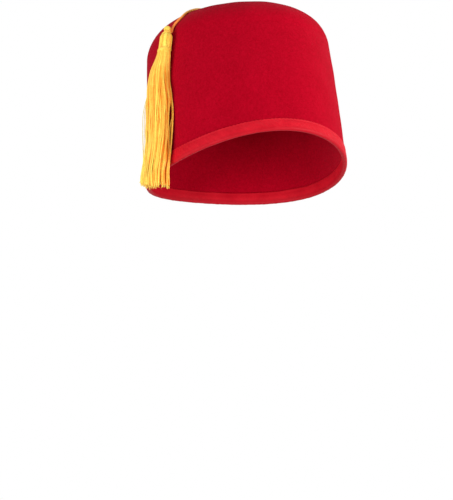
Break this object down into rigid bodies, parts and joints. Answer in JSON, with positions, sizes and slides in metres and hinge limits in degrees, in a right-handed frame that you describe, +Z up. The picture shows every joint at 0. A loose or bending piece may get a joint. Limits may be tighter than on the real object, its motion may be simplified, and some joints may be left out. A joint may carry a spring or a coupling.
{
  "type": "fez hat",
  "caption": "Oval felt fez with a rounded shoulder, a satin ribbon binding round the arched rim and a yarn tassel on a thin cord",
  "frame": {"origin": "centre of the head opening, at the mean height of the rim, where the hat sits on a head", "axes": "+Z up along the hat's own axis, front towards -Y, the tassel on the wearer's right towards -X"},
  "size_m": [0.1835, 0.2026, 0.1664],
  "materials": {
    "felt": "matt crimson pressed felt",
    "satin_ribbon": "red satin weave",
    "cord": "twisted gold-orange cord",
    "yarn": "glossy golden-yellow rayon yarn"
  },
  "bodies": {
    "root": {"crown": "felt", "rim_binding": "satin_ribbon", "tassel_cord": "cord", "cord_knot": "cord", "tassel_knob": "yarn", "tassel": "yarn"}
  },
  "joints": []
}
